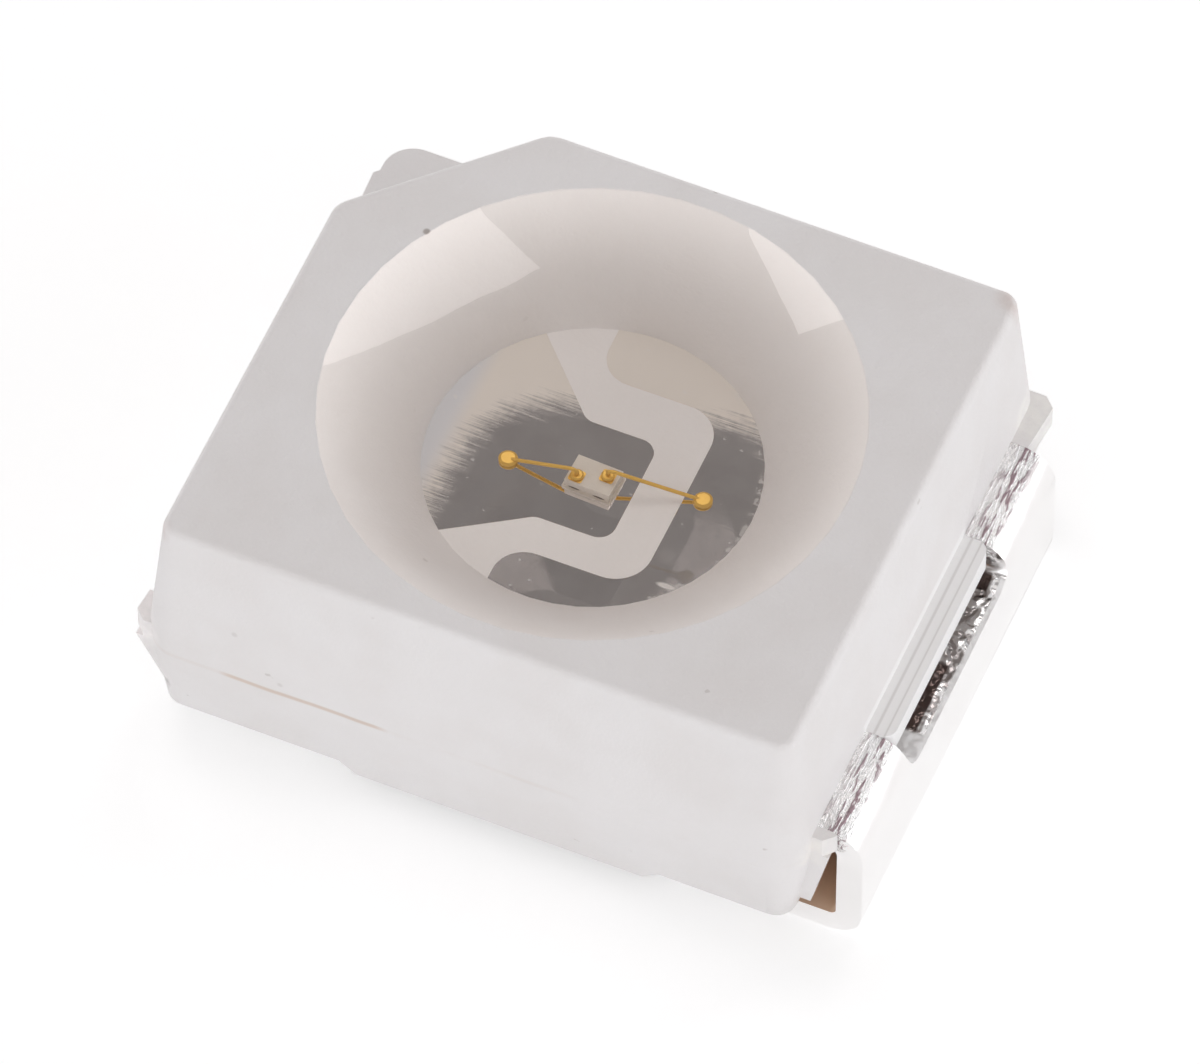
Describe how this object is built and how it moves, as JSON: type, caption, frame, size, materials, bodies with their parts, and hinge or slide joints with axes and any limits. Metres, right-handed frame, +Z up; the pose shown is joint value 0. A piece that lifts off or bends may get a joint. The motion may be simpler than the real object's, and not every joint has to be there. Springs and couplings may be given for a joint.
{
  "type": "smd led",
  "caption": "Surface-mount LED: white moulded housing with a round reflector cup of clear resin, a wire-bonded chip on a silver lead frame, and leads bent under both ends.",
  "frame": {"origin": "middle of the part's length and width, on the board plane under both solder pads", "axes": "+X from the cathode lead to the anode lead, +Y towards the side with the cut corner at the cathode end, +Z up out of the reflector cup"},
  "size_m": [0.0034, 0.0028, 0.0015],
  "materials": {
    "housing_plastic": "white moulded plastic, fine dull grain, a few moulding specks",
    "silver_plate": "rolled and silver-plated, mirror flat in the cup, streaked and crumpled at the bends",
    "clear_resin": "water-clear, glossy, slightly hollow",
    "sapphire": "clear with frosted sawn sides",
    "die_adhesive": "translucent pale adhesive with a soft fillet",
    "gold": "bright drawn gold"
  },
  "bodies": {
    "root": {"housing": "housing_plastic", "cathode_lead": "silver_plate", "anode_lead": "silver_plate", "encapsulant": "clear_resin", "led_chip": "sapphire", "die_attach": "die_adhesive", "cathode_electrode": "gold", "anode_electrode": "gold", "cathode_bond_wire": "gold", "anode_bond_wire": "gold"}
  },
  "joints": []
}
